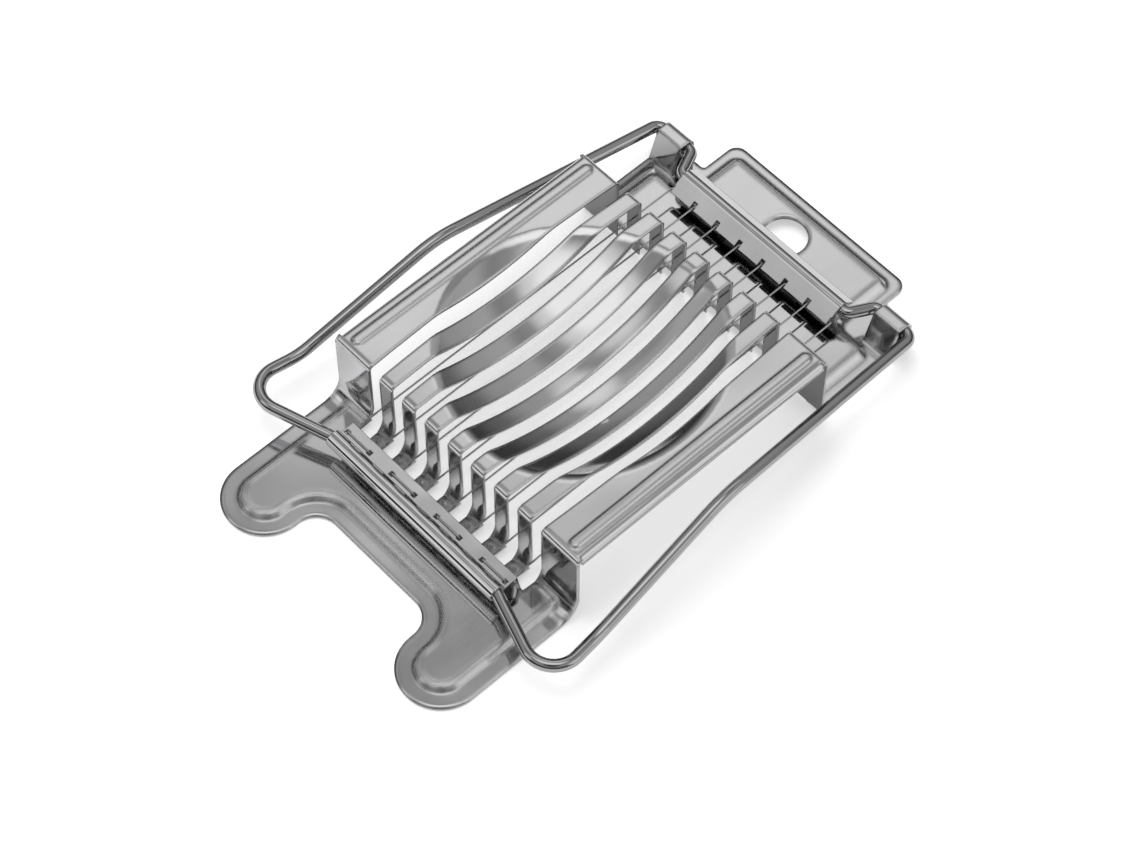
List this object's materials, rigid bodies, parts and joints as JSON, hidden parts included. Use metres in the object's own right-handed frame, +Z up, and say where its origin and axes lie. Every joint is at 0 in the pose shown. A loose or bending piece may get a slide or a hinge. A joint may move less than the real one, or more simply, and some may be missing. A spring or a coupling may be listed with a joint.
{
  "type": "egg slicer",
  "caption": "Polished stainless egg slicer: a pressed, slotted cradle with an egg hollow and a hinged frame strung with cutting wire.",
  "frame": {"origin": "on the table under the middle of the closed slicer", "axes": "+X across the slicer, +Y from the feet to the hanging tab, +Z up"},
  "size_m": [0.0878, 0.1322, 0.019],
  "materials": {
    "polished_sheet": "mirror polished stainless sheet",
    "polished_rod": "polished stainless rod",
    "carrier_sheet": "polished stainless sheet",
    "drawn_wire": "drawn stainless wire"
  },
  "bodies": {
    "base": {"base": "polished_sheet"},
    "frame": {"frame_rod": "polished_rod", "front_wire_carrier": "carrier_sheet", "rear_wire_carrier": "carrier_sheet", "cutting_wire": "drawn_wire"}
  },
  "joints": [
    {"name": "frame_hinge", "type": "hinge", "parent": "base", "child": "frame", "pos_m": [0, 0.0548, 0.006], "axis": [-1, 0, 0], "range_deg": [0, 175]}
  ]
}
